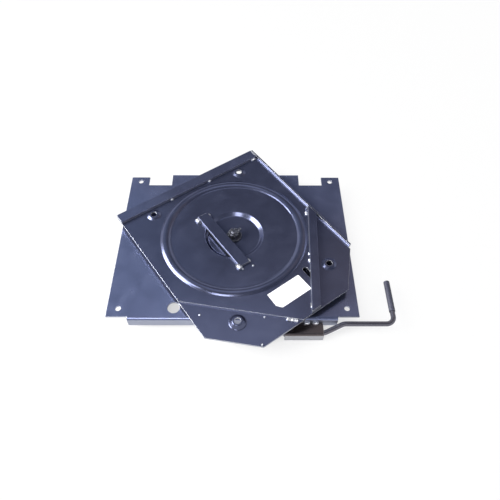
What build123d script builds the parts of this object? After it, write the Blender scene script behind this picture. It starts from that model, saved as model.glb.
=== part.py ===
from build123d import *
import os
from math import sqrt

# Swivel seat base for a camper: a folded base plate that bolts to the seat box, a pressed turntable
# plate that carries the seat, and a lift lever that draws a locking pin down by a rocking arm.
# The origin is on the pivot axis, in the plane of the base plate's underside, with +Y to the rear.

# Base plate, folded from sheet
SHEET = 3.0
BEND_RADIUS = 2.0
BASE_WIDTH = 400.0
BASE_DEPTH = 306.0
BASE_CENTRE_Y = -1.5
FRONT_SKIRT_LENGTH = 332.0
FRONT_SKIRT_DROP = 16.5
REAR_SKIRT_LENGTH = 244.0
REAR_SKIRT_DROP = 25.0
REAR_REACH = 4.3
NOTCH_WIDTH = 44.0
NOTCH_DEPTH = 21.0
BASE_BOLT_SIDE_INSET = 18.0
BASE_BOLT_FRONT_INSET = 14.5
BASE_BOLT_REAR_INSET = 11.5
BASE_BOLT_HOLE = 9.0
ACCESS_HOLE = 20.0
ACCESS_SPACING = 188.0
ACCESS_FROM_FRONT = 16.0

# Turntable plate, pressed from sheet, in its own frame before it is turned to its rest angle
REST_TURN = 35.5
TABLE_GAP = 11.0
TABLE_WIDTH = 296.0
TABLE_REAR = 152.0
TABLE_FRONT = 200.0
CORNER_CUT = 64.0
RIM_RISE = 4.5
BEAD_RADIUS = 118.5
BEAD_WIDTH = 17.0
BEAD_RISE = 3.5
RECESS_RADIUS = 51.0
RECESS_SLOPE = 6.0
RECESS_DEPTH = 6.0
PRESS_RADIUS = 2.0
SEAT_BOLT_SPAN_X = 185.0
SEAT_BOLT_SPAN_Y = 262.0
SEAT_BOLT_REAR = 118.0
SEAT_BOLT_HOLE = 10.5
BOSS_RADIUS = 12.5
BOSS_CROWN_RADIUS = 8.0
BOSS_RISE = 2.8
CORNER_BOSS_RADIUS = 13.5
LOCK_SLOT_LENGTH = 25.0
LOCK_SLOT_WIDTH = 9.0

# Bars and corner plate welded on the turntable
REAR_BAR_WIDTH = 20.0
REAR_BAR_HEIGHT = 6.0
CORNER_LINE = 208.0
CORNER_LAP = 2.5
BRACE_WIDTH = 14.0
BRACE_HEIGHT = 8.0
BRACE_FRONT_INSET = 1.0
BRACE_BEAD_GAP = 2.8
BRACE_LIE = 52.0
STRAP_WIDTH = 20.0
STRAP_THICKNESS = 5.0
STRAP_LENGTH = 130.0
STRAP_X = -23.0
EDGE_ROUND = 1.2

# Pivot
BOLT_DIAMETER = 10.0
BOLT_HEAD_HEIGHT = 6.4
HEX_ACROSS_FLATS = 17.0
NUT_HEIGHT = 10.0
NUT_SLOT_DEPTH = 3.5
NUT_SLOT_WIDTH = 2.8
BOLT_END = 1.5
SPLIT_PIN_WIRE = 2.2
BUSH_WALL = 3.0
BUSH_FLANGE_WALL = 4.0
BUSH_FLANGE = 2.0
THRUST_WASHER_RADIUS = 30.0
WASHER_RADIUS = 13.0
WASHER_THICKNESS = 2.5
RING_WIDTH = 10.0

# Lever and its bracket at the front edge
ROD_DIAMETER = 8.0
LEVER_FORWARD = 13.0
LEVER_Z = -17.5
FINGER_REACH = 10.5
FINGER_BEND = 6.5
HANDLE_RISE = 9.5
HANDLE_BACK = 11.0
HANDLE_TURN_START = 146.0
HANDLE_TURN_END = 176.0
HANDLE_X = 256.5
HANDLE_LENGTH = 78.0
HANDLE_BEND = 13.0
SWAN_BEND = 18.0
GRIP_WALL = 0.9
GRIP_LENGTH = 56.0
BRACKET_LEFT = 82.0
BRACKET_WIDTH = 61.0
BRACKET_REACH = 22.0
BRACKET_SHEET = 2.5
BRACKET_TOP = -7.8
BRACKET_BOTTOM = -25.0
BUSH_BLOCK_WIDTH = 10.0
BUSH_BLOCK_INSET = 4.0
BUSH_BLOCK_BELOW = 6.5
BUSH_BLOCK_BEHIND = 7.0
COLLAR_WALL = 2.0
COLLAR_WIDTH = 5.0
SPRING_WIRE = 1.6
SPRING_TURNS = 9

# Latch arm that rocks on a pin under the base plate
LATCH_X = 53.5
LATCH_PIVOT_Y = -141.0
LATCH_PIVOT_Z = -11.0
LATCH_WIDTH = 14.0
LATCH_HUB_RADIUS = 4.8
LATCH_PIN_DIAMETER = 5.0
LATCH_PIN_STICKOUT = 1.5
LATCH_ARM_DEPTH = 7.0
LATCH_REAR_REACH = 12.0
LATCH_REAR_END = 5.8
LATCH_JAW = 3.0
LATCH_JAW_LENGTH = 2.0
LATCH_LOWER_CUT = 1.5
LATCH_WEB = 4.0
LOCK_PIN_DIAMETER = 8.0
LOCK_PIN_POINT = 1.0
LOCK_HOLE_TRAVEL = 4.0
EAR_THICKNESS = 2.5
EAR_WIDTH = 12.0
EAR_BELOW = 5.5

# Clearances
RUN_FIT = 0.05
PRESS_FIT = 0.02
RUN_GAP = 0.3
FACE_GAP = 0.2
FORK_CLEARANCE = 0.4
SIDE_CLEARANCE = 0.5
NOTCH_CLEARANCE = 1.5
OVERCUT = 1.0

# Levels and places worked out from the sizes above
BASE_TOP = SHEET
TABLE_UNDER = BASE_TOP + TABLE_GAP
TABLE_TOP = TABLE_UNDER + SHEET
SEAT_LEVEL = TABLE_TOP + BOSS_RISE
FOLD = BEND_RADIUS + SHEET
BASE_FRONT = BASE_CENTRE_Y - BASE_DEPTH / 2
BASE_REAR = BASE_CENTRE_Y + BASE_DEPTH / 2
SKIRT_FACE = BASE_FRONT - FOLD
LEVER_Y = SKIRT_FACE - LEVER_FORWARD
RECESS_FLOOR = TABLE_TOP - RECESS_DEPTH
BUSH_RADIUS = BOLT_DIAMETER / 2 + RUN_FIT + BUSH_WALL
ROD_RADIUS = ROD_DIAMETER / 2
FINGER_Y = LEVER_Y + FINGER_REACH
LOCK_PIN_Y = LATCH_PIVOT_Y + LATCH_REAR_REACH
BRACKET_FRONT = SKIRT_FACE - BRACKET_REACH
BRACKET_UNDER = BRACKET_TOP - BRACKET_SHEET
BRACKET_RIGHT = BRACKET_LEFT + BRACKET_WIDTH
SEAT_BOLT_FRONT = SEAT_BOLT_REAR - SEAT_BOLT_SPAN_Y
LATCH_PIN_LENGTH = LATCH_WIDTH + 2 * (SIDE_CLEARANCE + EAR_THICKNESS + LATCH_PIN_STICKOUT)
NUT_SEAT = RECESS_FLOOR + WASHER_THICKNESS
NUT_TOP = NUT_SEAT + NUT_HEIGHT


def turned(piece):
    """Turn a piece of the turntable from its own frame to its rest angle."""
    return Rot(0, 0, REST_TURN) * piece


def fold_section(sheet, radius, height):
    """Section of a sheet edge folded down: x runs outwards, y = 0 is the sheet's outer skin."""
    outer = radius + sheet
    return make_face([
        TangentArc((0, 0), (outer, -outer), tangent=(1, 0)),
        Line((outer, -outer), (outer, -height)),
        Line((outer, -height), (radius, -height)),
        Line((radius, -height), (radius, -outer)),
        TangentArc((radius, -outer), (0, -sheet), tangent=(0, 1)),
        Line((0, -sheet), (0, 0)),
    ])


def fold_along(section, middle, outwards, length):
    """Folded edge of a given length, centred on a point of the fold line."""
    run = Vector(*outwards).cross(Vector(0, 0, 1))
    start = Vector(*middle) - run * (length / 2)
    return extrude(Plane(origin=start, x_dir=outwards, z_dir=run) * section, amount=length)


def pressed(top_edges, sheet, outer_radius):
    """Round pressing of constant sheet: the edges are its top skin from the axis outwards."""
    skin = Curve() + top_edges
    lower = Pos(0, -sheet) * skin
    start = skin.edges().sort_by(Axis.X)[0].vertices().sort_by(Axis.X)[0]
    end = skin.edges().sort_by(Axis.X)[-1].vertices().sort_by(Axis.X)[-1]
    face = make_face([
        *skin.edges(),
        *lower.edges(),
        Line((start.X, start.Y), (start.X, start.Y - sheet)),
        Line((end.X, end.Y), (end.X, end.Y - sheet)),
    ])
    bends = [v for v in face.vertices() if OVERCUT < v.X < outer_radius - OVERCUT]
    return revolve(Plane.XZ * fillet(bends, PRESS_RADIUS), Axis.Z)


def rectangle_places(span_x, span_y, centre_y):
    """Corners of a bolt rectangle."""
    return [(x, centre_y + y) for x in (-span_x / 2, span_x / 2) for y in (-span_y / 2, span_y / 2)]


def drilled(places, diameter, bottom, top):
    """Upright holes from below one level to above another."""
    depth = top - bottom + 2 * OVERCUT
    low_end = (Align.CENTER, Align.CENTER, Align.MIN)
    return [Pos(x, y, bottom - OVERCUT) * Cylinder(diameter / 2, depth, align=low_end) for x, y in places]


def washer(inner, outer, bottom, height):
    """Flat ring that stands on a level."""
    ring = Circle(outer) - Circle(inner)
    return Pos(0, 0, bottom) * extrude(ring, amount=height)


def base_plate():
    """Sheet with corner tabs, two rear notches and skirts folded down at the front and the rear."""
    outline = Pos(0, BASE_CENTRE_Y) * Rectangle(BASE_WIDTH, BASE_DEPTH)
    notch_x = REAR_SKIRT_LENGTH / 2 + NOTCH_WIDTH / 2
    for x in (-notch_x, notch_x):
        outline -= Pos(x, BASE_REAR - NOTCH_DEPTH / 2) * Rectangle(NOTCH_WIDTH, NOTCH_DEPTH)
    outline += Pos(0, BASE_REAR + REAR_REACH / 2) * Rectangle(REAR_SKIRT_LENGTH, REAR_REACH)
    plate = extrude(outline, amount=SHEET)
    front = fold_section(SHEET, BEND_RADIUS, SHEET + FRONT_SKIRT_DROP)
    plate += fold_along(front, (0, BASE_FRONT, BASE_TOP), (0, -1, 0), FRONT_SKIRT_LENGTH)
    rear = fold_section(SHEET, BEND_RADIUS, SHEET + REAR_SKIRT_DROP)
    plate += fold_along(rear, (0, BASE_REAR + REAR_REACH, BASE_TOP), (0, 1, 0), REAR_SKIRT_LENGTH)
    span_x = BASE_WIDTH - 2 * BASE_BOLT_SIDE_INSET
    span_y = BASE_DEPTH - BASE_BOLT_FRONT_INSET - BASE_BOLT_REAR_INSET
    bolts_y = BASE_FRONT + BASE_BOLT_FRONT_INSET + span_y / 2
    plate -= drilled(rectangle_places(span_x, span_y, bolts_y), BASE_BOLT_HOLE, 0, BASE_TOP)
    access_y = BASE_FRONT + ACCESS_FROM_FRONT
    access = [(-ACCESS_SPACING / 2, access_y), (ACCESS_SPACING / 2, access_y)]
    plate -= drilled(access, ACCESS_HOLE, 0, BASE_TOP)
    plate -= drilled([(0, 0)], 2 * (BUSH_RADIUS + PRESS_FIT), 0, BASE_TOP)
    hole_length = LOCK_PIN_DIAMETER + 2 * SIDE_CLEARANCE + LOCK_HOLE_TRAVEL
    hole = SlotOverall(hole_length, LOCK_PIN_DIAMETER + 2 * SIDE_CLEARANCE, rotation=90)
    hole_y = LOCK_PIN_Y + LOCK_HOLE_TRAVEL / 2
    plate -= Pos(LATCH_X, hole_y, -OVERCUT) * extrude(hole, amount=SHEET + 2 * OVERCUT)
    notch = Box(LATCH_PIN_LENGTH + 2 * NOTCH_CLEARANCE, FOLD + 2 * OVERCUT, FRONT_SKIRT_DROP + OVERCUT,
                align=(Align.CENTER, Align.CENTER, Align.MAX))
    plate -= Pos(LATCH_X, SKIRT_FACE + FOLD / 2, 0) * notch
    return plate


def table_outline(right_inset, front_inset=0):
    """Turntable outline with its two front corners cut off, inset at the right flank and the front."""
    half = TABLE_WIDTH / 2
    cut_y = CORNER_CUT - TABLE_FRONT
    front_x = half - CORNER_CUT + front_inset
    front_y = front_inset - TABLE_FRONT
    right = half - right_inset
    return make_face(Polyline(
        (-half, TABLE_REAR), (right, TABLE_REAR), (right, cut_y - right_inset), (front_x, front_y),
        (-front_x, front_y), (-half, cut_y), close=True,
    ))


def corner_outline(lap):
    """Left front corner of the outline beyond a line at 45 degrees, which the lap moves inwards."""
    half = TABLE_WIDTH / 2
    line = CORNER_LINE - lap * sqrt(2)
    triangle = make_face(Polyline(
        (-half, half - line), (TABLE_FRONT - line, -TABLE_FRONT), (-half, -TABLE_FRONT), close=True,
    ))
    return triangle & table_outline(FOLD)


def boss(level, radius):
    """Coned seat for a seat bolt, raised to the seat level in a sheet whose top is at the given level."""
    rim = radius + PRESS_RADIUS + OVERCUT
    top = [
        Line((0, SEAT_LEVEL), (BOSS_CROWN_RADIUS, SEAT_LEVEL)),
        Line((BOSS_CROWN_RADIUS, SEAT_LEVEL), (radius, level)),
        Line((radius, level), (rim, level)),
    ]
    hole = drilled([(0, 0)], SEAT_BOLT_HOLE, SEAT_LEVEL - SHEET, SEAT_LEVEL)
    return pressed(top, SHEET, rim) - hole, rim


def with_boss(sheet, place, level, radius):
    """Raise one bolt seat in a flat sheet."""
    seat, rim = boss(level, radius)
    flat = drilled([place], 2 * rim, level - SHEET, level)
    return sheet - flat + Pos(*place) * seat


def swivel_plate():
    """Pressed sheet with a rim at its right flank, the bearing bead, the pivot recess and three bolt seats."""
    plate = Pos(0, 0, TABLE_UNDER) * extrude(table_outline(FOLD) - corner_outline(0), amount=SHEET)
    rim_length = TABLE_REAR + TABLE_FRONT - CORNER_CUT
    rim_middle = (TABLE_REAR - TABLE_FRONT + CORNER_CUT) / 2
    rim = mirror(fold_section(SHEET, BEND_RADIUS, SHEET + RIM_RISE), about=Plane.XZ)
    plate += fold_along(rim, (TABLE_WIDTH / 2 - FOLD, rim_middle, TABLE_UNDER), (1, 0, 0), rim_length)
    bead_in = BEAD_RADIUS - BEAD_WIDTH / 2
    bead_out = BEAD_RADIUS + BEAD_WIDTH / 2
    disc = bead_out + PRESS_RADIUS + OVERCUT
    recess_foot = RECESS_RADIUS - RECESS_SLOPE
    top = [
        Line((0, RECESS_FLOOR), (recess_foot, RECESS_FLOOR)),
        Line((recess_foot, RECESS_FLOOR), (RECESS_RADIUS, TABLE_TOP)),
        Line((RECESS_RADIUS, TABLE_TOP), (bead_in, TABLE_TOP)),
        ThreePointArc((bead_in, TABLE_TOP), (BEAD_RADIUS, TABLE_TOP + BEAD_RISE), (bead_out, TABLE_TOP)),
        Line((bead_out, TABLE_TOP), (disc, TABLE_TOP)),
    ]
    plate -= drilled([(0, 0)], 2 * disc, TABLE_UNDER, TABLE_TOP)
    plate += pressed(top, SHEET, disc)
    seats_y = SEAT_BOLT_REAR - SEAT_BOLT_SPAN_Y / 2
    for place in rectangle_places(SEAT_BOLT_SPAN_X, SEAT_BOLT_SPAN_Y, seats_y)[1:]:
        plate = with_boss(plate, place, TABLE_TOP, BOSS_RADIUS)
    plate -= drilled([(0, 0)], BOLT_DIAMETER + 2 * PRESS_FIT, RECESS_FLOOR - SHEET, RECESS_FLOOR)
    slot = SlotOverall(LOCK_SLOT_LENGTH, LOCK_SLOT_WIDTH, rotation=90)
    slot_y = LOCK_PIN_Y - LOCK_SLOT_LENGTH / 2 + LOCK_PIN_DIAMETER / 2 + FACE_GAP
    plate -= Pos(LATCH_X, slot_y, TABLE_UNDER - OVERCUT) * extrude(slot, amount=SHEET + 2 * OVERCUT)
    return turned(plate)


def corner_doubler():
    """Corner plate with the fourth bolt seat, lapped under the turntable's cut edge and welded along it."""
    sheet = Pos(0, 0, TABLE_UNDER - SHEET) * extrude(corner_outline(CORNER_LAP), amount=SHEET)
    place = (-SEAT_BOLT_SPAN_X / 2, SEAT_BOLT_FRONT)
    return turned(with_boss(sheet, place, TABLE_UNDER, CORNER_BOSS_RADIUS))


def rounded_bar(length, width, height):
    """Flat bar with its upper edges rounded, lying along X on the level 0."""
    bar = Box(length, width, height, align=(Align.CENTER, Align.CENTER, Align.MIN))
    return fillet(bar.edges().filter_by(Axis.X).group_by(Axis.Z)[-1], EDGE_ROUND)


def rear_bar():
    """Flat bar welded along the turntable's rear edge, from the left flank to the rim at the right."""
    bar = rounded_bar(TABLE_WIDTH - FOLD, REAR_BAR_WIDTH, REAR_BAR_HEIGHT)
    return turned(Pos(-FOLD / 2, TABLE_REAR - REAR_BAR_WIDTH / 2, TABLE_TOP) * bar)


def brace_bar():
    """Bar welded across the right front corner clear of the bead, trimmed to the front edge and the rim."""
    away = BEAD_RADIUS + BEAD_WIDTH / 2 + BRACE_BEAD_GAP + BRACE_WIDTH / 2
    bar = Pos(0, -away, 0) * rounded_bar(2 * TABLE_FRONT, BRACE_WIDTH, BRACE_HEIGHT)
    field = extrude(table_outline(FOLD + FACE_GAP, BRACE_FRONT_INSET), amount=BRACE_HEIGHT)
    return turned(Pos(0, 0, TABLE_TOP) * (Rot(0, 0, BRACE_LIE) * bar & field))


def bridge_strap():
    """Flat bar welded at both ends over the pivot recess, beside the nut."""
    bar = Rot(0, 0, 90) * rounded_bar(STRAP_LENGTH, STRAP_WIDTH, STRAP_THICKNESS)
    return turned(Pos(STRAP_X, 0, TABLE_TOP) * bar)


def bearing_ring():
    """Slide ring that lies on the base plate and runs in the hollow of the turntable's bead."""
    half_bead = BEAD_WIDTH / 2
    hollow = (half_bead ** 2 + BEAD_RISE ** 2) / (2 * BEAD_RISE)
    crown = TABLE_UNDER + BEAD_RISE - RUN_GAP
    half = RING_WIDTH / 2
    shoulder = crown - hollow + sqrt(hollow ** 2 - half ** 2)
    inner = BEAD_RADIUS - half
    outer = BEAD_RADIUS + half
    section = make_face([
        ThreePointArc((inner, shoulder), (BEAD_RADIUS, crown), (outer, shoulder)),
        Line((outer, shoulder), (outer, BASE_TOP)),
        Line((outer, BASE_TOP), (inner, BASE_TOP)),
        Line((inner, BASE_TOP), (inner, shoulder)),
    ])
    return revolve(Plane.XZ * section, Axis.Z)


def pivot_bush():
    """Flanged bush pressed up through the base plate's centre."""
    bore = BOLT_DIAMETER / 2 + RUN_FIT
    top = RECESS_FLOOR - SHEET - FACE_GAP
    sleeve = washer(bore, BUSH_RADIUS, -BUSH_FLANGE, top + BUSH_FLANGE)
    return sleeve + washer(bore, BUSH_RADIUS + BUSH_FLANGE_WALL, -BUSH_FLANGE, BUSH_FLANGE)


def thrust_washer():
    """Washer that carries the floor of the pivot recess on the base plate."""
    height = RECESS_FLOOR - SHEET - FACE_GAP - BASE_TOP
    return washer(BUSH_RADIUS + PRESS_FIT, THRUST_WASHER_RADIUS, BASE_TOP, height)


def lower_washer():
    """Washer between the bolt head and the bush."""
    top = -BUSH_FLANGE - FACE_GAP
    return washer(BOLT_DIAMETER / 2 + PRESS_FIT, WASHER_RADIUS, top - WASHER_THICKNESS, WASHER_THICKNESS)


def nut_washer():
    """Washer under the nut, on the recess floor."""
    return washer(BOLT_DIAMETER / 2 + PRESS_FIT, WASHER_RADIUS, RECESS_FLOOR, WASHER_THICKNESS)


def hexagon(bottom, height):
    """Hexagon bar with its corners turned off at both ends."""
    corner = HEX_ACROSS_FLATS / sqrt(3)
    bar = extrude(RegularPolygon(corner, 6, rotation=30), amount=height)
    cone = Cylinder(corner, height, align=(Align.CENTER, Align.CENTER, Align.MIN))
    cone = chamfer(cone.edges().filter_by(GeomType.CIRCLE), (corner - HEX_ACROSS_FLATS / 2))
    return Pos(0, 0, bottom) * (bar & cone)


def pivot_bolt():
    """Hexagon bolt put in from below and cross-drilled for the split pin."""
    head_top = -BUSH_FLANGE - FACE_GAP - WASHER_THICKNESS
    shank_top = NUT_TOP + BOLT_END
    shank = Cylinder(BOLT_DIAMETER / 2, shank_top - head_top, align=(Align.CENTER, Align.CENTER, Align.MIN))
    shank = chamfer(shank.edges().filter_by(GeomType.CIRCLE).sort_by(Axis.Z)[-1], EDGE_ROUND)
    bolt = hexagon(head_top - BOLT_HEAD_HEIGHT, BOLT_HEAD_HEIGHT) + Pos(0, 0, head_top) * shank
    cross = Cylinder(SPLIT_PIN_WIRE / 2 + PRESS_FIT, 2 * BOLT_DIAMETER)
    return turned(bolt - Pos(0, 0, NUT_TOP - NUT_SLOT_DEPTH / 2) * Rot(0, 90, 0) * cross)


def pivot_nut():
    """Castle nut with three slots across its top."""
    nut = hexagon(NUT_SEAT, NUT_HEIGHT)
    nut -= drilled([(0, 0)], BOLT_DIAMETER + 2 * PRESS_FIT, NUT_SEAT, NUT_TOP)
    slot = Box(2 * HEX_ACROSS_FLATS, NUT_SLOT_WIDTH, NUT_SLOT_DEPTH + OVERCUT,
               align=(Align.CENTER, Align.CENTER, Align.MIN))
    for turn in (0, 60, 120):
        nut -= Pos(0, 0, NUT_TOP - NUT_SLOT_DEPTH) * Rot(0, 0, turn) * slot
    return turned(nut)


def split_pin():
    """Wire pin through nut and bolt, with its eye at one end."""
    reach = HEX_ACROSS_FLATS / 2 + SPLIT_PIN_WIRE + FACE_GAP
    wire = SPLIT_PIN_WIRE / 2
    leg = Rot(0, 90, 0) * Cylinder(wire, 2 * reach)
    eye = Pos(reach + wire, 0, 0) * Torus(SPLIT_PIN_WIRE, wire)
    return turned(Pos(0, 0, NUT_TOP - NUT_SLOT_DEPTH / 2) * (leg + eye))


def lever_bracket():
    """Folded sheet at the skirt: a flat top that is welded to the skirt, and a front face."""
    section = fold_section(BRACKET_SHEET, BEND_RADIUS, BRACKET_TOP - BRACKET_BOTTOM)
    fold = BEND_RADIUS + BRACKET_SHEET
    middle = BRACKET_LEFT + BRACKET_WIDTH / 2
    edge = (middle, BRACKET_FRONT + fold, BRACKET_TOP)
    bracket = fold_along(section, edge, (0, -1, 0), BRACKET_WIDTH)
    depth = BRACKET_REACH - fold
    top = Box(BRACKET_WIDTH, depth, BRACKET_SHEET, align=(Align.CENTER, Align.MAX, Align.MAX))
    return bracket + Pos(middle, SKIRT_FACE, BRACKET_TOP) * top


def rod_bushes():
    """Two blocks under the bracket that the lever turns in."""
    front = BRACKET_FRONT + BRACKET_SHEET
    back = LEVER_Y + BUSH_BLOCK_BEHIND
    height = BRACKET_UNDER - LEVER_Z + BUSH_BLOCK_BELOW
    block = Box(BUSH_BLOCK_WIDTH, back - front, height, align=(Align.CENTER, Align.MIN, Align.MAX))
    corner = block.edges().filter_by(Axis.X).group_by(Axis.Z)[-1].sort_by(Axis.Y)[0]
    block = Pos(0, front, BRACKET_UNDER) * chamfer(corner, BEND_RADIUS)
    bore = Cylinder(ROD_RADIUS + RUN_FIT, 2 * BUSH_BLOCK_WIDTH)
    block -= Pos(0, LEVER_Y, LEVER_Z) * Rot(0, 90, 0) * bore
    inset = BUSH_BLOCK_INSET + BUSH_BLOCK_WIDTH / 2
    return Compound(children=[Pos(x, 0, 0) * block for x in (BRACKET_LEFT + inset, BRACKET_RIGHT - inset)])


def lever_path():
    """Middle line of the lever, from its finger to the end of the handle."""
    handle_y = LEVER_Y + HANDLE_BACK
    handle_z = LEVER_Z + HANDLE_RISE
    return FilletPolyline(
        (LATCH_X, FINGER_Y, LEVER_Z),
        (LATCH_X, LEVER_Y, LEVER_Z),
        (HANDLE_TURN_START, LEVER_Y, LEVER_Z),
        (HANDLE_TURN_END, handle_y, handle_z),
        (HANDLE_X, handle_y, handle_z),
        (HANDLE_X, handle_y + HANDLE_LENGTH, handle_z),
        radius=[FINGER_BEND, SWAN_BEND, SWAN_BEND, HANDLE_BEND],
    )


def lever_rod():
    """Round bar bent into the finger, the shaft in the bushes, a swan neck and the handle."""
    path = lever_path()
    start = Plane(origin=path @ 0, z_dir=path % 0)
    rod = sweep(start * Circle(ROD_RADIUS), path=path)
    return rod + Pos(*(path @ 0)) * Sphere(ROD_RADIUS)


def lever_grip():
    """Soft sleeve pushed over the end of the handle, closed and rounded at its tip."""
    path = lever_path()
    tip = path @ 1
    inner = ROD_RADIUS + PRESS_FIT
    outer = ROD_RADIUS + PRESS_FIT + GRIP_WALL
    solid = Cylinder(outer, GRIP_LENGTH + GRIP_WALL, align=(Align.CENTER, Align.CENTER, Align.MAX))
    solid = Pos(0, 0, GRIP_WALL) * fillet(solid.edges().filter_by(GeomType.CIRCLE).sort_by(Axis.Z)[-1], GRIP_WALL)
    sleeve = solid - Cylinder(inner, GRIP_LENGTH + OVERCUT, align=(Align.CENTER, Align.CENTER, Align.MAX))
    return Pos(*tip) * Rot(-90, 0, 0) * sleeve


def along_rod(section, x):
    """Round piece on the lever's shaft: x of the section is its radius, y runs along the shaft."""
    return Pos(x, LEVER_Y, LEVER_Z) * Rot(0, 90, 0) * revolve(Plane.XZ * section, Axis.Z)


def rod_collar():
    """Collar that keeps the shaft in its bushes."""
    inner = ROD_RADIUS + PRESS_FIT
    section = Pos(inner + COLLAR_WALL / 2, COLLAR_WIDTH / 2) * Rectangle(COLLAR_WALL, COLLAR_WIDTH)
    return along_rod(section, BRACKET_LEFT + BUSH_BLOCK_INSET - FACE_GAP - COLLAR_WIDTH)


def return_spring():
    """Close-wound spring round the shaft, with one leg against the bracket's front."""
    inner = ROD_RADIUS + RUN_GAP
    middle = inner + SPRING_WIRE / 2
    length = SPRING_TURNS * SPRING_WIRE
    section = Pos(middle, length / 2) * Rectangle(SPRING_WIRE / 2, length - SPRING_WIRE)
    section += [Pos(middle, (turn + 0.5) * SPRING_WIRE) * Circle(SPRING_WIRE / 2) for turn in range(SPRING_TURNS)]
    section &= Pos(inner + SPRING_WIRE, length / 2) * Rectangle(2 * SPRING_WIRE, length)
    start = BRACKET_LEFT + (BRACKET_WIDTH - length) / 2
    coil = along_rod(section, start)
    leg_length = LEVER_Y - BRACKET_FRONT - BRACKET_SHEET
    leg = Rot(90, 0, 0) * Cylinder(SPRING_WIRE / 2, leg_length, align=(Align.CENTER, Align.CENTER, Align.MIN))
    leg_z = LEVER_Z - middle - SPRING_WIRE / 4
    return coil + Pos(start + SPRING_WIRE / 2, LEVER_Y, leg_z) * leg


def latch_arm():
    """Rocking arm: a fork that takes the lever's finger, a hub on its pin, and an eye for the lock pin.

    The lower jaw ends behind the finger's ball, so that the finger can tilt in the fork.
    """
    fork = ROD_RADIUS + FORK_CLEARANCE
    fork_back = FINGER_Y + ROD_RADIUS + SIDE_CLEARANCE
    front = FINGER_Y - LATCH_JAW_LENGTH
    jaw = fork + LATCH_JAW
    outline = Pos((front + fork_back + LATCH_WEB) / 2, LEVER_Z)
    profile = outline * RectangleRounded(fork_back + LATCH_WEB - front, 2 * jaw, EDGE_ROUND)
    profile -= Pos((front + fork_back) / 2 - OVERCUT, LEVER_Z) * Rectangle(fork_back - front + 2 * OVERCUT, 2 * fork)
    lower_cut = LATCH_JAW_LENGTH + LATCH_LOWER_CUT + OVERCUT
    profile -= Pos(FINGER_Y + LATCH_LOWER_CUT - lower_cut / 2, LEVER_Z - jaw / 2) * Rectangle(lower_cut, jaw + OVERCUT)
    rear = LOCK_PIN_Y + LATCH_REAR_END
    arm_length = rear - fork_back
    arm = Pos(fork_back + arm_length / 2, LATCH_PIVOT_Z) * RectangleRounded(arm_length, LATCH_ARM_DEPTH, EDGE_ROUND)
    profile += arm
    profile += Pos(LATCH_PIVOT_Y, LATCH_PIVOT_Z) * Circle(LATCH_HUB_RADIUS)
    profile -= Pos(LATCH_PIVOT_Y, LATCH_PIVOT_Z) * Circle(LATCH_PIN_DIAMETER / 2 + RUN_FIT)
    arm = Pos(LATCH_X - LATCH_WIDTH / 2, 0, 0) * extrude(Plane.YZ * profile, amount=LATCH_WIDTH)
    eye = drilled([(LATCH_X, LOCK_PIN_Y)], LOCK_PIN_DIAMETER + 2 * PRESS_FIT,
                  LATCH_PIVOT_Z - LATCH_ARM_DEPTH / 2, LATCH_PIVOT_Z + LATCH_ARM_DEPTH / 2)
    return arm - eye


def lock_pin():
    """Locking pin riveted in the arm, at rest just under the turntable plate."""
    bottom = LATCH_PIVOT_Z - LATCH_ARM_DEPTH / 2
    top = TABLE_UNDER - RUN_GAP
    pin = Cylinder(LOCK_PIN_DIAMETER / 2, top - bottom, align=(Align.CENTER, Align.CENTER, Align.MIN))
    pin = chamfer(pin.edges().filter_by(GeomType.CIRCLE).sort_by(Axis.Z)[-1], LOCK_PIN_POINT)
    return Pos(LATCH_X, LOCK_PIN_Y, bottom) * pin


def latch_ears():
    """Two ears welded under the base plate, which hold the latch pin."""
    height = EAR_BELOW - LATCH_PIVOT_Z
    ear = RectangleRounded(EAR_WIDTH, 2 * height, EAR_WIDTH / 2 - EDGE_ROUND)
    ear &= Pos(0, -height / 2) * Rectangle(EAR_WIDTH, height)
    ear -= Pos(0, LATCH_PIVOT_Z) * Circle(LATCH_PIN_DIAMETER / 2 + PRESS_FIT)
    plate = Pos(0, LATCH_PIVOT_Y, 0) * extrude(Plane.YZ * ear, amount=EAR_THICKNESS)
    gap = LATCH_WIDTH / 2 + SIDE_CLEARANCE
    return Compound(children=[Pos(LATCH_X + x, 0, 0) * plate for x in (gap, -gap - EAR_THICKNESS)])


def latch_pin():
    """Pin that the arm rocks on, held in the two ears."""
    pin = Rot(0, 90, 0) * Cylinder(LATCH_PIN_DIAMETER / 2, LATCH_PIN_LENGTH)
    return Pos(LATCH_X, LATCH_PIVOT_Y, LATCH_PIVOT_Z) * pin


PIECES = [
    base_plate, bearing_ring, pivot_bush, thrust_washer, lever_bracket, rod_bushes, return_spring,
    latch_ears, latch_pin, swivel_plate, corner_doubler, rear_bar, brace_bar, bridge_strap, pivot_bolt,
    lower_washer, nut_washer, pivot_nut, split_pin, lever_rod, lever_grip, rod_collar, latch_arm, lock_pin,
]

os.makedirs("parts", exist_ok=True)
for make in PIECES:
    export_step(make(), f"parts/{make.__name__}.step")
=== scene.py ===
import math
import bmesh
import bpy
from mathutils import Matrix, Vector


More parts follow.
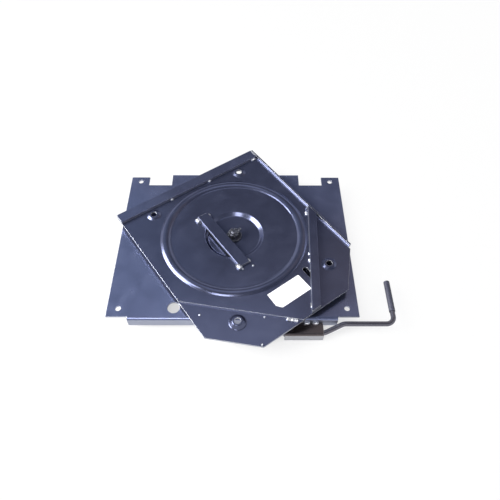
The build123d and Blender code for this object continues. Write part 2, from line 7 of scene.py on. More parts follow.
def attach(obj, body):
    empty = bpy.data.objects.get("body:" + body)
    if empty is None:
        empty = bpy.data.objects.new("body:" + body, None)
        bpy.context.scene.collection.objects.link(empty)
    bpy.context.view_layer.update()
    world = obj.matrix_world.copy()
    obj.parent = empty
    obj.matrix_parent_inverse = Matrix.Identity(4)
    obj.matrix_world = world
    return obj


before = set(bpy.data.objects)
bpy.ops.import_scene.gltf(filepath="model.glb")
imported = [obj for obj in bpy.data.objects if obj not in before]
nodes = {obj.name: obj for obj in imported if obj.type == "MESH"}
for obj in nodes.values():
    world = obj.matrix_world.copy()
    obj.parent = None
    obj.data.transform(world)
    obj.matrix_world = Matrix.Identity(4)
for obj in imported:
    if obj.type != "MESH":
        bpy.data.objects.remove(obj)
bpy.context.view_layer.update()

# The base plate is folded from 3 mm sheet steel, and a bolt at each corner holds it on the seat box.
# It is dipped in blue-black satin paint, with a fine orange peel and clouds of deep and thin film.
# The paint carries a little dust from the store.
# Its edges are lightened towards bare steel, partly as wear and partly as a painted highlight.
# Its upright faces, the skirts among them, are lightened by a share as a painted reflection of the pale
# floor.
PLATE_BLUE = (0.131, 0.150, 0.247, 1.0)
PLATE_BLUE_THIN = (0.197, 0.224, 0.371, 1.0)
BARE_STEEL_WEAR_AND_SHEEN = (0.82, 0.84, 0.88, 1.0)
WEAR_AND_SHEEN_ROUGHNESS = 0.55
DUST = (0.30, 0.31, 0.38, 1.0)
DUST_STARTS = 0.30
DUST_FULL = 0.52
EDGE_STARTS = 0.99
EDGE_FULL = 0.80
UPRIGHT_STARTS = 0.40
UPRIGHT_FULL = 0.10
EDGE_SAMPLES = 16
CORNER_ROUND = 0.0005
GRAZING_TINT = (0.30, 0.32, 0.40, 1.0)
PAINT_CLOUDS = 30.0
PAINT_PEEL = 900.0
PEEL_STRENGTH = 0.04
PEEL_DEPTH = 0.0002
PAINT_METALLIC = 0.86
DEEP_FILM_SMOOTHER = 0.05
THIN_FILM_ROUGHER = 0.10


def paint_film_group():
    """Mottle, dust and orange peel of a dipped paint film, all from the piece's own coordinates."""
    group = bpy.data.node_groups.new("paint_film", "ShaderNodeTree")
    group.interface.new_socket("Mottle Scale", in_out="INPUT", socket_type="NodeSocketFloat")
    group.interface.new_socket("Peel Scale", in_out="INPUT", socket_type="NodeSocketFloat")
    group.interface.new_socket("Mottle", in_out="OUTPUT", socket_type="NodeSocketFloat")
    group.interface.new_socket("Dust", in_out="OUTPUT", socket_type="NodeSocketFloat")
    group.interface.new_socket("Peel", in_out="OUTPUT", socket_type="NodeSocketFloat")
    link = group.links.new
    given = group.nodes.new("NodeGroupInput")
    put_out = group.nodes.new("NodeGroupOutput")
    place = group.nodes.new("ShaderNodeTexCoord")
    mottle = group.nodes.new("ShaderNodeTexNoise")
    mottle.inputs["Detail"].default_value = 4.0
    mottle.inputs["Distortion"].default_value = 0.6
    link(place.outputs["Object"], mottle.inputs["Vector"])
    link(given.outputs["Mottle Scale"], mottle.inputs["Scale"])
    link(mottle.outputs["Fac"], put_out.inputs["Mottle"])
    specks = group.nodes.new("ShaderNodeTexNoise")
    specks.inputs["Scale"].default_value = 420.0
    specks.inputs["Detail"].default_value = 3.0
    link(place.outputs["Object"], specks.inputs["Vector"])
    drift = group.nodes.new("ShaderNodeMath")
    drift.operation = "MULTIPLY"
    link(mottle.outputs["Fac"], drift.inputs[0])
    link(specks.outputs["Fac"], drift.inputs[1])
    settled = group.nodes.new("ShaderNodeMapRange")
    settled.inputs["From Min"].default_value = DUST_STARTS
    settled.inputs["From Max"].default_value = DUST_FULL
    link(drift.outputs["Value"], settled.inputs["Value"])
    link(settled.outputs["Result"], put_out.inputs["Dust"])
    peel = group.nodes.new("ShaderNodeTexNoise")
    peel.inputs["Detail"].default_value = 1.5
    link(place.outputs["Object"], peel.inputs["Vector"])
    link(given.outputs["Peel Scale"], peel.inputs["Scale"])
    link(peel.outputs["Fac"], put_out.inputs["Peel"])
    return group


def edge_wear_and_sheen_group():
    """Mask of rounded edges, for wear and painted highlight, and by a share of upright faces, for painted
    reflection.
    """
    group = bpy.data.node_groups.new("edge_wear_and_sheen", "ShaderNodeTree")
    group.interface.new_socket("Width", in_out="INPUT", socket_type="NodeSocketFloat")
    group.interface.new_socket("Upright Sheen Share", in_out="INPUT", socket_type="NodeSocketFloat")
    group.interface.new_socket("Edge", in_out="OUTPUT", socket_type="NodeSocketFloat")
    link = group.links.new
    given = group.nodes.new("NodeGroupInput")
    put_out = group.nodes.new("NodeGroupOutput")
    rounded = group.nodes.new("ShaderNodeBevel")
    rounded.samples = EDGE_SAMPLES
    link(given.outputs["Width"], rounded.inputs["Radius"])
    flat = group.nodes.new("ShaderNodeNewGeometry")
    agree = group.nodes.new("ShaderNodeVectorMath")
    agree.operation = "DOT_PRODUCT"
    link(rounded.outputs["Normal"], agree.inputs[0])
    link(flat.outputs["Normal"], agree.inputs[1])
    mask = group.nodes.new("ShaderNodeMapRange")
    mask.inputs["From Min"].default_value = EDGE_STARTS
    mask.inputs["From Max"].default_value = EDGE_FULL
    link(agree.outputs["Value"], mask.inputs["Value"])
    parts = group.nodes.new("ShaderNodeSeparateXYZ")
    link(flat.outputs["True Normal"], parts.inputs["Vector"])
    slope = group.nodes.new("ShaderNodeMath")
    slope.operation = "ABSOLUTE"
    link(parts.outputs["Z"], slope.inputs[0])
    upright = group.nodes.new("ShaderNodeMapRange")
    upright.inputs["From Min"].default_value = UPRIGHT_STARTS
    upright.inputs["From Max"].default_value = UPRIGHT_FULL
    link(slope.outputs["Value"], upright.inputs["Value"])
    upright_sheen = group.nodes.new("ShaderNodeMath")
    upright_sheen.operation = "MULTIPLY"
    link(upright.outputs["Result"], upright_sheen.inputs[0])
    link(given.outputs["Upright Sheen Share"], upright_sheen.inputs[1])
    either = group.nodes.new("ShaderNodeMath")
    either.operation = "MAXIMUM"
    link(mask.outputs["Result"], either.inputs[0])
    link(upright_sheen.outputs["Value"], either.inputs[1])
    link(either.outputs["Value"], put_out.inputs["Edge"])
    return group


paint_film = paint_film_group()
edge_wear_and_sheen = edge_wear_and_sheen_group()


def add_film(tree, mottle_scale, peel_scale):
    """Put the paint film's patterns in a material, with clouds and peel per metre."""
    film = tree.nodes.new("ShaderNodeGroup")
    film.node_tree = paint_film
    film.inputs["Mottle Scale"].default_value = mottle_scale
    film.inputs["Peel Scale"].default_value = peel_scale
    return film


def add_edge_wear_and_sheen(tree, width, upright_sheen_share):
    """Put the mask of edge wear and painted highlight, and of upright painted reflection, in a material."""
    edge = tree.nodes.new("ShaderNodeGroup")
    edge.node_tree = edge_wear_and_sheen
    edge.inputs["Width"].default_value = width
    edge.inputs["Upright Sheen Share"].default_value = upright_sheen_share
    return edge


def satin_paint(name, deep, thin, roughness, dustiness, wear_and_sheen, wear_and_sheen_width, upright_sheen_share):
    """Satin paint on steel: film clouds, dust, edges lightened as wear and painted highlight, upright faces
    as painted reflection.
    """
    material = bpy.data.materials.new(name)
    material.use_nodes = True
    tree = material.node_tree
    link = tree.links.new
    shader = tree.nodes["Principled BSDF"]
    shader.inputs["Specular Tint"].default_value = GRAZING_TINT
    film = add_film(tree, PAINT_CLOUDS, PAINT_PEEL)
    edge = add_edge_wear_and_sheen(tree, wear_and_sheen_width, upright_sheen_share)
    colour = tree.nodes.new("ShaderNodeMix")
    colour.data_type = "RGBA"
    colour.inputs["A"].default_value = deep
    colour.inputs["B"].default_value = thin
    link(film.outputs["Mottle"], colour.inputs["Factor"])
    dust_share = tree.nodes.new("ShaderNodeMath")
    dust_share.operation = "MULTIPLY"
    dust_share.inputs[1].default_value = dustiness
    link(film.outputs["Dust"], dust_share.inputs[0])
    dusty = tree.nodes.new("ShaderNodeMix")
    dusty.data_type = "RGBA"
    dusty.inputs["B"].default_value = DUST
    link(dust_share.outputs["Value"], dusty.inputs["Factor"])
    link(colour.outputs["Result"], dusty.inputs["A"])
    # Painted light: edges turn towards bare steel as wear and painted highlight, upright faces as painted
    # reflection.
    wear_and_sheen_share = tree.nodes.new("ShaderNodeMath")
    wear_and_sheen_share.operation = "MULTIPLY"
    wear_and_sheen_share.inputs[1].default_value = wear_and_sheen
    link(edge.outputs["Edge"], wear_and_sheen_share.inputs[0])
    worn = tree.nodes.new("ShaderNodeMix")
    worn.data_type = "RGBA"
    worn.inputs["B"].default_value = BARE_STEEL_WEAR_AND_SHEEN
    link(wear_and_sheen_share.outputs["Value"], worn.inputs["Factor"])
    link(dusty.outputs["Result"], worn.inputs["A"])
    link(worn.outputs["Result"], shader.inputs["Base Color"])
    bare_and_sheen = tree.nodes.new("ShaderNodeMapRange")
    bare_and_sheen.inputs["To Min"].default_value = PAINT_METALLIC
    bare_and_sheen.inputs["To Max"].default_value = 1.0
    link(wear_and_sheen_share.outputs["Value"], bare_and_sheen.inputs["Value"])
    link(bare_and_sheen.outputs["Result"], shader.inputs["Metallic"])
    sheen = tree.nodes.new("ShaderNodeMapRange")
    sheen.inputs["To Min"].default_value = roughness - DEEP_FILM_SMOOTHER
    sheen.inputs["To Max"].default_value = roughness + THIN_FILM_ROUGHER
    link(film.outputs["Mottle"], sheen.inputs["Value"])
    scuffed_and_sheen = tree.nodes.new("ShaderNodeMix")
    scuffed_and_sheen.inputs["B"].default_value = WEAR_AND_SHEEN_ROUGHNESS
    link(wear_and_sheen_share.outputs["Value"], scuffed_and_sheen.inputs["Factor"])
    link(sheen.outputs["Result"], scuffed_and_sheen.inputs["A"])
    link(scuffed_and_sheen.outputs["Result"], shader.inputs["Roughness"])
    corner = tree.nodes.new("ShaderNodeBevel")
    corner.samples = EDGE_SAMPLES
    corner.inputs["Radius"].default_value = CORNER_ROUND
    bump = tree.nodes.new("ShaderNodeBump")
    bump.inputs["Strength"].default_value = PEEL_STRENGTH
    bump.inputs["Distance"].default_value = PEEL_DEPTH
    link(film.outputs["Peel"], bump.inputs["Height"])
    link(corner.outputs["Normal"], bump.inputs["Normal"])
    link(bump.outputs["Normal"], shader.inputs["Normal"])
    return material


def finish_nodes(material, names):
    """Put one finish on CAD pieces."""
    for name in names:
        nodes[name].data.materials.clear()
        nodes[name].data.materials.append(material)


plate_paint = satin_paint("plate_paint", deep=PLATE_BLUE, thin=PLATE_BLUE_THIN, roughness=0.22,
                          dustiness=0.22, wear_and_sheen=0.70, wear_and_sheen_width=0.0005, upright_sheen_share=0.55)
finish_nodes(plate_paint, ["base_plate"])

# The slide ring, the thrust washer and the bushes are turned and moulded from dark nylon.
# They are pressed in or lie loose between the plates and under the bracket, and are seen from low down.
NYLON = (0.050, 0.050, 0.056, 1.0)
NYLON_WORN = (0.085, 0.085, 0.092, 1.0)
GRAIN_DEPTH = 0.0002


def mottled_colour(tree, film, fresh, worn):
    """Colour a piece in clouds of two tones."""
    tones = tree.nodes.new("ShaderNodeMix")
    tones.data_type = "RGBA"
    tones.inputs["A"].default_value = fresh
    tones.inputs["B"].default_value = worn
    tree.links.new(film.outputs["Mottle"], tones.inputs["Factor"])
    tree.links.new(tones.outputs["Result"], tree.nodes["Principled BSDF"].inputs["Base Color"])


def moulded(name, fresh, worn, mottle_scale, grain_scale, grain, roughness):
    """Moulded or dipped plastic in two tones, with an even gloss and a fine grain."""
    material = bpy.data.materials.new(name)
    material.use_nodes = True
    tree = material.node_tree
    shader = tree.nodes["Principled BSDF"]
    shader.inputs["Roughness"].default_value = roughness
    film = add_film(tree, mottle_scale, grain_scale)
    mottled_colour(tree, film, fresh, worn)
    bump = tree.nodes.new("ShaderNodeBump")
    bump.inputs["Strength"].default_value = grain
    bump.inputs["Distance"].default_value = GRAIN_DEPTH
    tree.links.new(film.outputs["Peel"], bump.inputs["Height"])
    tree.links.new(bump.outputs["Normal"], shader.inputs["Normal"])
    return material


nylon = moulded("dark_nylon", fresh=NYLON, worn=NYLON_WORN, mottle_scale=40.0, grain_scale=1500.0,
                grain=0.15, roughness=0.62)
finish_nodes(nylon, ["bearing_ring", "thrust_washer", "pivot_bush", "rod_bushes"])

# The turntable is pressed from 3 mm sheet, which raises its bead, its bolt seats and the pivot recess.
# A corner plate, a brace and a strap are welded on, and all are given a darker blue than the base plate.
NAVY = (0.075, 0.083, 0.137, 1.0)
NAVY_THIN = (0.117, 0.131, 0.214, 1.0)
# Its edges are lightened as wear and painted highlight, and its upright faces as painted reflection.
table_paint = satin_paint("table_paint", deep=NAVY, thin=NAVY_THIN, roughness=0.19,
                          dustiness=0.14, wear_and_sheen=0.75, wear_and_sheen_width=0.0008, upright_sheen_share=0.75)
finish_nodes(table_paint, ["swivel_plate", "corner_doubler", "brace_bar", "bridge_strap"])

# The rear bar is a length of flat steel bar, welded along the turntable's rear edge to stiffen it.
# It is coloured a little lighter than the turntable, as a painted sheen for the brighter reflection on its
# top.
BAR_SHEEN_NAVY = (0.105, 0.116, 0.190, 1.0)
BAR_SHEEN_NAVY_THIN = (0.155, 0.174, 0.284, 1.0)
bar_sheen_paint = satin_paint("bar_sheen_paint", deep=BAR_SHEEN_NAVY, thin=BAR_SHEEN_NAVY_THIN, roughness=0.19,
                        dustiness=0.14, wear_and_sheen=0.75, wear_and_sheen_width=0.0008, upright_sheen_share=0.75)
finish_nodes(bar_sheen_paint, ["rear_bar"])

# The lever is bent from 8 mm round bar and has a collar pressed on.
# The latch arm is cut from thick bar, and its ears from sheet that is welded under the base plate.
# All are painted a warmer black, which handling keeps glossy.
LEVER_BLACK = (0.140, 0.135, 0.165, 1.0)
LEVER_BLACK_THIN = (0.180, 0.175, 0.205, 1.0)
# Their edges are lightened as wear and painted highlight.
lever_paint = satin_paint("lever_paint", deep=LEVER_BLACK, thin=LEVER_BLACK_THIN, roughness=0.15,
                          dustiness=0.10, wear_and_sheen=0.65, wear_and_sheen_width=0.0009, upright_sheen_share=0.0)
finish_nodes(lever_paint, ["lever_rod", "rod_collar", "latch_arm", "latch_ears"])

# The lever bracket is folded from 2.5 mm sheet and welded to the front skirt, over the lever's bushes.
# Its paint is thin and brownish.
# Its upright front is lightened almost to bare steel, a painted reflection of the pale floor,
# and its edges are lightened as wear and painted highlight.
BRACKET_BROWN = (0.110, 0.092, 0.095, 1.0)
BRACKET_BROWN_THIN = (0.150, 0.130, 0.132, 1.0)
bracket_paint = satin_paint("bracket_paint", deep=BRACKET_BROWN, thin=BRACKET_BROWN_THIN, roughness=0.22,
                            dustiness=0.06, wear_and_sheen=0.70, wear_and_sheen_width=0.0009, upright_sheen_share=0.9)
finish_nodes(bracket_paint, ["lever_bracket"])

# The pivot's bolt, nut, washers and split pin, the spring and the latch's pins are dark oiled steel.
# The steel is turned or drawn.
# Its edges are lightened, partly as wear from a spanner or a moving piece and partly as a painted highlight.
OILED = (0.095, 0.100, 0.125, 1.0)
STEEL_WEAR_AND_SHEEN = (0.62, 0.63, 0.67, 1.0)
OIL_SMOOTHEST = 0.22
OIL_ROUGHEST = 0.48
STEEL_CORNER_ROUND = 0.0004
STEEL_CORNER_SAMPLES = 4
steel = bpy.data.materials.new("oiled_steel")
steel.use_nodes = True
steel_tree = steel.node_tree
steel_link = steel_tree.links.new
steel_shader = steel_tree.nodes["Principled BSDF"]
steel_shader.inputs["Metallic"].default_value = 0.85
steel_film = add_film(steel_tree, mottle_scale=160.0, peel_scale=2200.0)
steel_edge = add_edge_wear_and_sheen(steel_tree, width=0.0006, upright_sheen_share=0.0)
steel_mix = steel_tree.nodes.new("ShaderNodeMix")
steel_mix.data_type = "RGBA"
steel_mix.inputs["A"].default_value = OILED
steel_mix.inputs["B"].default_value = STEEL_WEAR_AND_SHEEN
steel_link(steel_edge.outputs["Edge"], steel_mix.inputs["Factor"])
steel_link(steel_mix.outputs["Result"], steel_shader.inputs["Base Color"])
steel_sheen = steel_tree.nodes.new("ShaderNodeMapRange")
steel_sheen.inputs["To Min"].default_value = OIL_SMOOTHEST
steel_sheen.inputs["To Max"].default_value = OIL_ROUGHEST
steel_link(steel_film.outputs["Mottle"], steel_sheen.inputs["Value"])
steel_link(steel_sheen.outputs["Result"], steel_shader.inputs["Roughness"])
steel_corner = steel_tree.nodes.new("ShaderNodeBevel")
steel_corner.samples = STEEL_CORNER_SAMPLES
steel_corner.inputs["Radius"].default_value = STEEL_CORNER_ROUND
steel_bump = steel_tree.nodes.new("ShaderNodeBump")
steel_bump.inputs["Strength"].default_value = 0.12
steel_bump.inputs["Distance"].default_value = 0.0001
steel_link(steel_film.outputs["Peel"], steel_bump.inputs["Height"])
steel_link(steel_corner.outputs["Normal"], steel_bump.inputs["Normal"])
steel_link(steel_bump.outputs["Normal"], steel_shader.inputs["Normal"])
finish_nodes(steel, ["pivot_bolt", "pivot_nut", "lower_washer", "nut_washer", "split_pin", "return_spring",
                     "latch_pin", "lock_pin"])

# The grip is a sleeve of soft vinyl on the lever's handle.
# It is made by dipping the hot handle, so it is even and a little grained.
VINYL = (0.034, 0.036, 0.060, 1.0)
VINYL_WORN = (0.060, 0.062, 0.092, 1.0)
vinyl = moulded("dipped_vinyl", fresh=VINYL, worn=VINYL_WORN, mottle_scale=60.0, grain_scale=1200.0,
                grain=0.25, roughness=0.48)
finish_nodes(vinyl, ["lever_grip"])

# The strap, the brace, the rear bar and the corner plate are held by short arc-welded beads.
# The beads are rippled, with drops of spatter beside them, and are coloured pale grey as a painted highlight.
# Places are in the turntable's own frame, which stands turned on the pivot at rest.
REST_DEGREES = 35.5
REST_TURN = Matrix.Rotation(math.radians(REST_DEGREES), 4, "Z")
RIPPLE_PITCH = 0.0016
LEAST_RIPPLES = 4
RIPPLE_SWELL = 0.10
RIPPLE_PHASE = 2.4
BEAD_END_SHARE = 0.55
BEAD_SIDES = 12
DROP_FLATNESS = 0.6
DROP_SUBDIVISIONS = 3
MERGE_REACH = 0.000001
STRAP_SKIN = 0.0180
PLATE_SKIN = 0.0174
CORNER_SKIN = 0.0146
RIM_SKIN = 0.0208
RIM_CROWN = 0.0215
BRACE_END_FOOT = 0.0185
BRACE_END_HEAD = 0.0195
REAR_BAR_FOOT = 0.1320
WELD_SHEEN_GREY = (0.58, 0.60, 0.66, 1.0)
WELD_SHEEN_PALE = (0.76, 0.78, 0.83, 1.0)
weld_sheen_paint = satin_paint("weld_sheen_paint", deep=WELD_SHEEN_GREY, thin=WELD_SHEEN_PALE, roughness=0.25,
                         dustiness=0.05, wear_and_sheen=0.25, wear_and_sheen_width=0.0005, upright_sheen_share=0.0)


def new_points(made):
    """Vertices that an extrusion has made."""
    return [v for v in made["geom"] if isinstance(v, bmesh.types.BMVert)]


def add_bead(mesh, start, end, radius):
    """One rippled bead from start to end, half sunk in the joint that it fills."""
    run = Vector(end) - Vector(start)
    steps = max(LEAST_RIPPLES, round(run.length / RIPPLE_PITCH))
    lie = Matrix.Translation(start) @ run.to_track_quat("Z", "Y").to_matrix().to_4x4()
    size = BEAD_END_SHARE
    made = bmesh.ops.create_circle(mesh, cap_ends=True, segments=BEAD_SIDES, radius=radius * size)
    ring = made["verts"]
    everything = list(ring)
    face = next(f for f in ring[0].link_faces)
    for step in range(1, steps + 1):
        grown = bmesh.ops.extrude_face_region(mesh, geom=[face])
        ring = new_points(grown)
        face = next(f for f in grown["geom"] if isinstance(f, bmesh.types.BMFace))
        bmesh.ops.translate(mesh, verts=ring, vec=(0, 0, run.length / steps))
        share = BEAD_END_SHARE if step == steps else 1.0
        target = share * (1.0 + RIPPLE_SWELL * math.sin(RIPPLE_PHASE * step))
        middle = sum((v.co for v in ring), Vector()) / len(ring)
        bmesh.ops.scale(mesh, verts=ring, vec=(target / size,) * 3, space=Matrix.Translation(-middle))
        size = target
        everything += ring
    bmesh.ops.transform(mesh, matrix=lie, verts=everything)


def add_spatter(mesh, place, radius):
    """One flattened drop of weld metal."""
    lie = Matrix.Translation(place) @ Matrix.Diagonal((1.0, 1.0, DROP_FLATNESS, 1.0))
    bmesh.ops.create_icosphere(mesh, subdivisions=DROP_SUBDIVISIONS, radius=radius, matrix=lie)


def add_object(name, mesh, material):
    """Make an object of a finished mesh."""
    data = bpy.data.meshes.new(name)
    mesh.to_mesh(data)
    mesh.free()
    piece = bpy.data.objects.new(name, data)
    bpy.context.scene.collection.objects.link(piece)
    data.materials.append(material)
    return piece


def finish_piece(name, mesh, material, body, smooth):
    """Make an object of a closed mesh that rides on a body."""
    bmesh.ops.remove_doubles(mesh, verts=mesh.verts, dist=MERGE_REACH)
    bmesh.ops.recalc_face_normals(mesh, faces=mesh.faces)
    piece = add_object(name, mesh, material)
    for polygon in piece.data.polygons:
        polygon.use_smooth = smooth
    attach(piece, body)


welds = bmesh.new()
add_bead(welds, start=(-0.0352, 0.0645, STRAP_SKIN), end=(-0.0352, 0.0530, STRAP_SKIN), radius=0.0046)
add_bead(welds, start=(-0.0342, -0.0570, STRAP_SKIN), end=(-0.0322, -0.0685, STRAP_SKIN), radius=0.0045)
add_bead(welds, start=(-0.0125, 0.0640, PLATE_SKIN), end=(-0.0122, 0.0560, PLATE_SKIN), radius=0.0024)
add_bead(welds, start=(-0.0125, -0.0570, PLATE_SKIN), end=(-0.0122, -0.0650, PLATE_SKIN), radius=0.0024)
add_spatter(welds, place=(-0.0300, -0.0690, PLATE_SKIN), radius=0.0018)
add_spatter(welds, place=(-0.0124, -0.0735, PLATE_SKIN), radius=0.0018)
add_bead(welds, start=(0.0160, -0.1925, PLATE_SKIN), end=(0.0215, -0.1850, PLATE_SKIN), radius=0.0034)
add_bead(welds, start=(0.0680, -0.1240, PLATE_SKIN), end=(0.0722, -0.1182, PLATE_SKIN), radius=0.0030)
add_bead(welds, start=(0.0770, -0.1115, PLATE_SKIN), end=(0.0796, -0.1078, PLATE_SKIN), radius=0.0020)
add_bead(welds, start=(0.1290, -0.0405, PLATE_SKIN), end=(0.1352, -0.0325, PLATE_SKIN), radius=0.0026)
add_bead(welds, start=(0.1385, -0.0290, BRACE_END_FOOT), end=(0.1440, -0.0275, BRACE_END_HEAD), radius=0.0024)
add_spatter(welds, place=(0.1440, -0.0345, RIM_CROWN), radius=0.0020)
add_bead(welds, start=(-0.0500, REAR_BAR_FOOT, PLATE_SKIN), end=(-0.0440, REAR_BAR_FOOT, PLATE_SKIN),
         radius=0.0024)
add_bead(welds, start=(0.0310, REAR_BAR_FOOT, PLATE_SKIN), end=(0.0372, REAR_BAR_FOOT, PLATE_SKIN),
         radius=0.0024)
add_bead(welds, start=(0.1315, REAR_BAR_FOOT, PLATE_SKIN), end=(0.1410, REAR_BAR_FOOT, PLATE_SKIN),
         radius=0.0028)
add_bead(welds, start=(0.1436, 0.1345, RIM_SKIN), end=(0.1436, 0.1490, RIM_SKIN), radius=0.0026)
add_bead(welds, start=(-0.0282, -0.1826, CORNER_SKIN), end=(-0.0150, -0.1958, CORNER_SKIN), radius=0.0034)
add_bead(welds, start=(-0.0846, -0.1940, CORNER_SKIN), end=(-0.0836, -0.1972, CORNER_SKIN), radius=0.0021)
add_spatter(welds, place=(-0.0533, -0.1605, CORNER_SKIN), radius=0.0016)
add_spatter(welds, place=(-0.1329, -0.0995, CORNER_SKIN), radius=0.0016)
bmesh.ops.transform(welds, matrix=REST_TURN, verts=welds.verts)
finish_piece("table_welds", welds, weld_sheen_paint, "turntable", smooth=True)

# The bracket is held to the front skirt by two runs of weld along its upper side.
# They are rippled and thinly painted like those on the turntable, and stay with the base plate.
SKIRT_SEAM = -0.1606
SEAM_LEVEL = -0.0072
SEAM_BEAD = 0.0027
skirt_welds = bmesh.new()
add_bead(skirt_welds, start=(0.1130, SKIRT_SEAM, SEAM_LEVEL), end=(0.1225, SKIRT_SEAM, SEAM_LEVEL),
         radius=SEAM_BEAD)
add_bead(skirt_welds, start=(0.1262, SKIRT_SEAM, SEAM_LEVEL), end=(0.1365, SKIRT_SEAM, SEAM_LEVEL),
         radius=SEAM_BEAD)
finish_piece("bracket_welds", skirt_welds, weld_sheen_paint, "base", smooth=True)

# A blank label of white plastic film is stuck on the turntable beside the brace.
# It is cut from the roll with one corner off, and nothing is on it.
LABEL_CORNERS = [
    (-0.0278, -0.1563),
    (-0.0208, -0.1647),
    (0.0379, -0.1637),
    (0.0371, -0.1310),
    (-0.0270, -0.1321),
]
LABEL_FILM = 0.00015
TABLE_TOP = 0.017
LABEL_WHITE = (0.96, 0.96, 0.96, 1.0)
LABEL_GREY = (0.92, 0.92, 0.93, 1.0)
label = bmesh.new()
label_ring = [label.verts.new((x, y, TABLE_TOP)) for x, y in LABEL_CORNERS]
label_face = bmesh.ops.contextual_create(label, geom=label_ring)["faces"][0]
label_top = bmesh.ops.extrude_face_region(label, geom=[label_face])
bmesh.ops.translate(label, verts=new_points(label_top), vec=(0, 0, LABEL_FILM))
bmesh.ops.transform(label, matrix=REST_TURN, verts=label.verts)
film_white = bpy.data.materials.new("label_film")
film_white.use_nodes = True
film_white.node_tree.nodes["Principled BSDF"].inputs["Roughness"].default_value = 0.4
white_clouds = add_film(film_white.node_tree, mottle_scale=90.0, peel_scale=1800.0)
mottled_colour(film_white.node_tree, white_clouds, LABEL_WHITE, LABEL_GREY)
finish_piece("blank_label", label, film_white, "turntable", smooth=False)

# The floor is a wide sheet of plain pale paper, just under the skirts.
# The camera and the gloss see it near white.
# An occlusion mask dims that glow beside and under the object, as painted soft shade.
FLOOR_LEVEL = -0.0252
FLOOR_REACH = 6.0
PAPER = (0.93, 0.93, 0.93, 1.0)
PAPER_GLOW = (1.0, 1.0, 1.0, 1.0)
GLOW_SHARE = 0.97
SHADE_REACH = 0.05
SHADE_DEEPEST = 0.50
SHADE_SAMPLES = 16
paper_white = bpy.data.materials.new("paper_white")
paper_white.use_nodes = True
paper_tree = paper_white.node_tree
paper_link = paper_tree.links.new
paper_shader = paper_tree.nodes["Principled BSDF"]
paper_shader.inputs["Base Color"].default_value = PAPER
paper_shader.inputs["Roughness"].default_value = 0.9
paper_glow = paper_tree.nodes.new("ShaderNodeEmission")
paper_glow.inputs["Color"].default_value = PAPER_GLOW
seen = paper_tree.nodes.new("ShaderNodeLightPath")
seen_or_glossy = paper_tree.nodes.new("ShaderNodeMath")
seen_or_glossy.operation = "MAXIMUM"
paper_link(seen.outputs["Is Camera Ray"], seen_or_glossy.inputs[0])
paper_link(seen.outputs["Is Glossy Ray"], seen_or_glossy.inputs[1])
or_through = paper_tree.nodes.new("ShaderNodeMath")
or_through.operation = "MAXIMUM"
paper_link(seen_or_glossy.outputs["Value"], or_through.inputs[0])
paper_link(seen.outputs["Is Transmission Ray"], or_through.inputs[1])
glow_share = paper_tree.nodes.new("ShaderNodeMath")
glow_share.operation = "MULTIPLY"
glow_share.inputs[1].default_value = GLOW_SHARE
paper_link(or_through.outputs["Value"], glow_share.inputs[0])
# Painted shade: the occlusion mask dims the glow near and under the object.
open_sky = paper_tree.nodes.new("ShaderNodeAmbientOcclusion")
open_sky.samples = SHADE_SAMPLES
open_sky.inputs["Distance"].default_value = SHADE_REACH
soft_shade = paper_tree.nodes.new("ShaderNodeMapRange")
soft_shade.inputs["To Min"].default_value = SHADE_DEEPEST
paper_link(open_sky.outputs["AO"], soft_shade.inputs["Value"])
shade = paper_tree.nodes.new("ShaderNodeMath")
shade.operation = "MULTIPLY"
paper_link(glow_share.outputs["Value"], shade.inputs[0])
paper_link(soft_shade.outputs["Result"], shade.inputs[1])
paper_mix = paper_tree.nodes.new("ShaderNodeMixShader")
paper_link(shade.outputs["Value"], paper_mix.inputs["Fac"])
paper_link(paper_shader.outputs["BSDF"], paper_mix.inputs[1])
paper_link(paper_glow.outputs["Emission"], paper_mix.inputs[2])
paper_link(paper_mix.outputs["Shader"], paper_tree.nodes["Material Output"].inputs["Surface"])
paper = bmesh.new()
bmesh.ops.create_grid(paper, x_segments=1, y_segments=1, size=FLOOR_REACH)
bmesh.ops.translate(paper, verts=paper.verts, vec=(0, 0, FLOOR_LEVEL))
floor = add_object("paper_floor", paper, paper_white)

# The wall is a ring of the same paper, which stands far round the object with a gap over the floor.
# It gives low views a white background, and the gloss something pale to show.
WALL_RADIUS = 3.9
WALL_HEIGHT = 2.4
WALL_GAP = 0.06
WALL_SIDES = 96
wall_ring = bmesh.new()
bmesh.ops.create_circle(wall_ring, cap_ends=False, segments=WALL_SIDES, radius=WALL_RADIUS)
bmesh.ops.translate(wall_ring, verts=wall_ring.verts, vec=(0, 0, FLOOR_LEVEL + WALL_GAP))
risen = bmesh.ops.extrude_edge_only(wall_ring, edges=wall_ring.edges)
bmesh.ops.translate(wall_ring, verts=new_points(risen), vec=(0, 0, WALL_HEIGHT))
wall = add_object("paper_wall", wall_ring, paper_white)

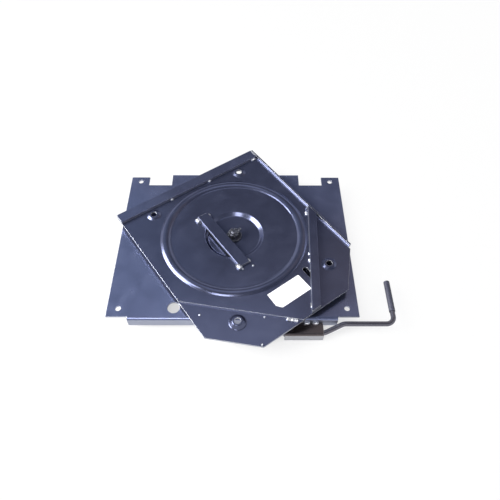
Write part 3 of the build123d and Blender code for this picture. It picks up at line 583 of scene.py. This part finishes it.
# The light is a wide window at the left with a pane above it, and a soft fill beside the camera.
# Three weak cards tint the gloss, bluish at the left, white overhead and warm at the right, in a dim room.
ROOM_BLUE = (0.72, 0.78, 0.95, 1.0)
ROOM_STRENGTH = 0.27
DAYLIGHT = (1.0, 0.99, 0.98)
LAMP_WHITE = (1.0, 0.98, 0.96)
CARD_BLUE = (0.55, 0.76, 1.0)
CARD_WHITE = (0.92, 0.94, 1.0)
CARD_WARM = (1.0, 0.70, 0.46)
scene = bpy.context.scene
scene.view_settings.view_transform = "Standard"
room = bpy.data.worlds.new("pale_room")
room.use_nodes = True
room_light = room.node_tree.nodes["Background"]
room_light.inputs["Color"].default_value = ROOM_BLUE
room_light.inputs["Strength"].default_value = ROOM_STRENGTH
scene.world = room


def soft_box(name, place, width, height, power, colour):
    """Soft box at a place, turned to the pivot."""
    lamp = bpy.data.lights.new(name, "AREA")
    lamp.shape = "RECTANGLE"
    lamp.size = width
    lamp.size_y = height
    lamp.energy = power
    lamp.color = colour
    holder = bpy.data.objects.new(name, lamp)
    holder.location = place
    holder.rotation_euler = (-Vector(place)).to_track_quat("-Z", "Y").to_euler()
    scene.collection.objects.link(holder)


soft_box("left_window", place=(-1.22, -0.02, 0.70), width=1.0, height=0.72, power=44.0, colour=DAYLIGHT)
soft_box("front_fill", place=(-0.35, -1.05, 1.15), width=0.5, height=0.5, power=8.0, colour=LAMP_WHITE)
soft_box("upper_pane", place=(-0.95, -0.22, 1.15), width=0.6, height=0.4, power=7.0, colour=DAYLIGHT)
soft_box("left_card", place=(-0.75, 0.75, 1.25), width=1.0, height=1.0, power=0.85, colour=CARD_BLUE)
soft_box("top_card", place=(-0.05, 0.35, 1.50), width=0.7, height=0.7, power=1.3, colour=CARD_WHITE)
soft_box("right_card", place=(0.80, 0.70, 1.20), width=0.9, height=0.9, power=0.7, colour=CARD_WARM)

# The camera stands in front of the object and high, and looks down at about 53 degrees.
# Its angles are in radians, and its focal length is in pixels of the square frame.
VIEW_PITCH = 0.93193
VIEW_YAW = 0.00748
VIEW_ROLL = 0.0069
VIEW_PLACE = (0.02397, -0.52469, 0.67669)
FOCAL_PIXELS = 484.76
FRAME_PIXELS = 500
SENSOR = 36.0
camera_data = bpy.data.cameras.new("photo_view")
camera_data.sensor_width = SENSOR
camera_data.lens = SENSOR * FOCAL_PIXELS / FRAME_PIXELS
camera = bpy.data.objects.new("photo_view", camera_data)
scene.collection.objects.link(camera)
turn = (Matrix.Rotation(-VIEW_YAW, 4, "Z") @ Matrix.Rotation(math.pi / 2 - VIEW_PITCH, 4, "X")
        @ Matrix.Rotation(VIEW_ROLL, 4, "Z"))
camera.matrix_world = Matrix.Translation(VIEW_PLACE) @ turn
scene.camera = camera
